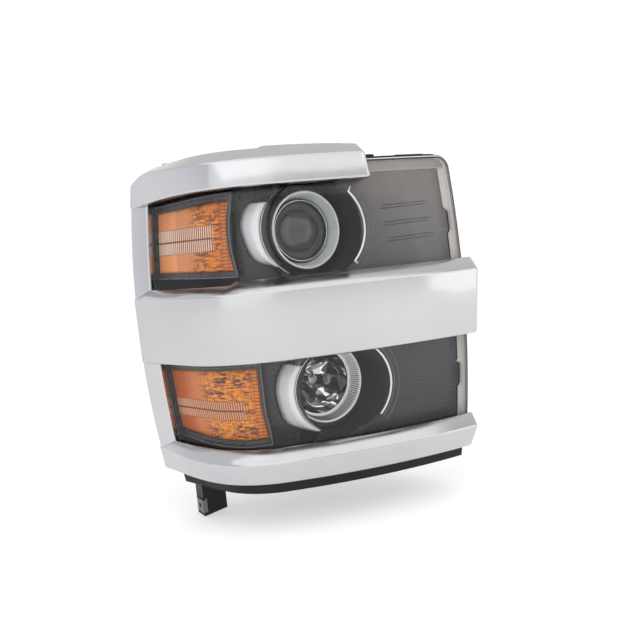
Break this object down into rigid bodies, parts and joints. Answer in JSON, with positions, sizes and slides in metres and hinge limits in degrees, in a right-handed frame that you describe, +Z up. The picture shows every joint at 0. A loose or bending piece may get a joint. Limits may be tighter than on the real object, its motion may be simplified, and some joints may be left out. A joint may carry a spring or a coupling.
{
  "type": "headlight assembly",
  "caption": "Stacked pickup-truck headlight with a projector low beam, a reflector high beam, wrap-around amber turn signals and a bright plated trim.",
  "frame": {"origin": "on the axis of the lower foot's threaded nut, at the foot's outboard face", "axes": "+X towards the vehicle's centre line, +Y rearward, away from the lens, +Z up"},
  "size_m": [0.3553, 0.2762, 0.44],
  "materials": {
    "black_plastic": "matte",
    "clear_lens": "gloss",
    "sealant": "matte",
    "bright_trim": "polished",
    "steel": "zinc plated",
    "rubber": "matte",
    "grey_plastic": "satin",
    "bezel_grey": "satin",
    "bright_accent": "polished",
    "amber_plastic": "gloss",
    "aluminised": "polished",
    "cap_plastic": "fine grain",
    "white_nylon": "satin",
    "cast_aluminium": "as cast",
    "optical_glass": "polished"
  },
  "bodies": {
    "lamp_body": {"housing": "black_plastic", "outer_lens": "clear_lens", "lens_seal": "sealant", "chrome_trim": "bright_trim", "trim_screws": "steel", "lower_spring_nut": "steel", "vent_elbows": "rubber", "main_connector": "grey_plastic", "inner_bezel": "bezel_grey", "low_shroud": "bezel_grey", "low_accent_arc": "bright_accent", "low_crescent": "bright_accent", "high_shroud": "bezel_grey", "high_accent_arc": "bright_accent", "high_crescent": "bright_accent", "upper_turn_frame": "bezel_grey", "upper_amber_lens": "amber_plastic", "upper_reflex_strip": "amber_plastic", "upper_turn_reflector": "aluminised", "lower_turn_frame": "bezel_grey", "lower_amber_lens": "amber_plastic", "lower_reflex_strip": "amber_plastic", "lower_turn_reflector": "aluminised", "low_pivot_studs": "steel", "high_pivot_studs": "steel"},
    "low_beam_carriage": {"low_carriage": "cap_plastic", "low_pivot_sockets": "white_nylon", "low_adjuster_nut": "white_nylon", "projector_holder": "cast_aluminium", "projector_lens": "optical_glass", "lens_retainer": "cast_aluminium", "low_trim_ring": "bright_accent", "cutoff_shield": "steel", "projector_bowl": "cast_aluminium"},
    "high_beam_carriage": {"high_carriage": "cap_plastic", "high_pivot_sockets": "white_nylon", "high_adjuster_nut": "white_nylon", "high_beam_reflector": "aluminised", "high_trim_ring": "bright_accent", "high_bulb_shield": "steel"},
    "low_adjuster": {"low_adjuster_screw": "white_nylon"},
    "high_adjuster": {"high_adjuster_screw": "white_nylon"},
    "low_beam_bulb": {"low_bulb_glass": "optical_glass", "low_bulb_base": "grey_plastic", "low_bulb_seal": "rubber"},
    "high_beam_bulb": {"high_bulb_glass": "optical_glass", "high_bulb_base": "grey_plastic", "high_bulb_seal": "rubber"},
    "low_cap": {"low_access_cap": "cap_plastic", "low_cap_seal": "rubber"},
    "high_cap": {"high_access_cap": "cap_plastic", "high_cap_seal": "rubber"},
    "upper_turn_lamp_socket": {"upper_turn_socket": "grey_plastic", "upper_socket_seal": "rubber", "upper_turn_bulb": "optical_glass"},
    "lower_turn_lamp_socket": {"lower_turn_socket": "grey_plastic", "lower_socket_seal": "rubber", "lower_turn_bulb": "optical_glass"}
  },
  "joints": [
    {"name": "low_beam_aim", "type": "hinge", "parent": "lamp_body", "child": "low_beam_carriage", "pos_m": [0.118, -0.0815, 0.367], "axis": [1, 0, 0], "range_deg": [-3, 3]},
    {"name": "low_adjuster_spin", "type": "hinge", "parent": "lamp_body", "child": "low_adjuster", "pos_m": [0.163, 0.0485, 0.283], "axis": [0, 1, 0], "range_deg": [-1076, 1076]},
    {"name": "high_beam_aim", "type": "hinge", "parent": "lamp_body", "child": "high_beam_carriage", "pos_m": [0.125, -0.0915, 0.187], "axis": [1, 0, 0], "range_deg": [-3, 3]},
    {"name": "high_adjuster_spin", "type": "hinge", "parent": "lamp_body", "child": "high_adjuster", "pos_m": [0.17, 0.0485, 0.103], "axis": [0, 1, 0], "range_deg": [-1076, 1076]},
    {"name": "low_bulb_twist", "type": "hinge", "parent": "low_beam_carriage", "child": "low_beam_bulb", "pos_m": [0.118, -0.0015, 0.329], "axis": [0, 1, 0], "range_deg": [0, 60]},
    {"name": "high_bulb_twist", "type": "hinge", "parent": "high_beam_carriage", "child": "high_beam_bulb", "pos_m": [0.125, -0.0455, 0.149], "axis": [0, 1, 0], "range_deg": [0, 60]},
    {"name": "low_cap_twist", "type": "hinge", "parent": "lamp_body", "child": "low_cap", "pos_m": [0.118, 0.0485, 0.329], "axis": [0, 1, 0], "range_deg": [0, 60]},
    {"name": "high_cap_twist", "type": "hinge", "parent": "lamp_body", "child": "high_cap", "pos_m": [0.125, 0.0485, 0.149], "axis": [0, 1, 0], "range_deg": [0, 60]},
    {"name": "upper_turn_socket_twist", "type": "hinge", "parent": "lamp_body", "child": "upper_turn_lamp_socket", "pos_m": [0.01066, 0.0355, 0.329], "axis": [-0.2756, 0.9613, 0], "range_deg": [0, 60]},
    {"name": "lower_turn_socket_twist", "type": "hinge", "parent": "lamp_body", "child": "lower_turn_lamp_socket", "pos_m": [0.01066, 0.0355, 0.137], "axis": [-0.2756, 0.9613, 0], "range_deg": [0, 60]}
  ],
  "couplings": [
    {"joint": "low_adjuster_spin", "follows": "low_beam_aim", "ratio": -351.86},
    {"joint": "high_adjuster_spin", "follows": "high_beam_aim", "ratio": -351.86}
  ]
}
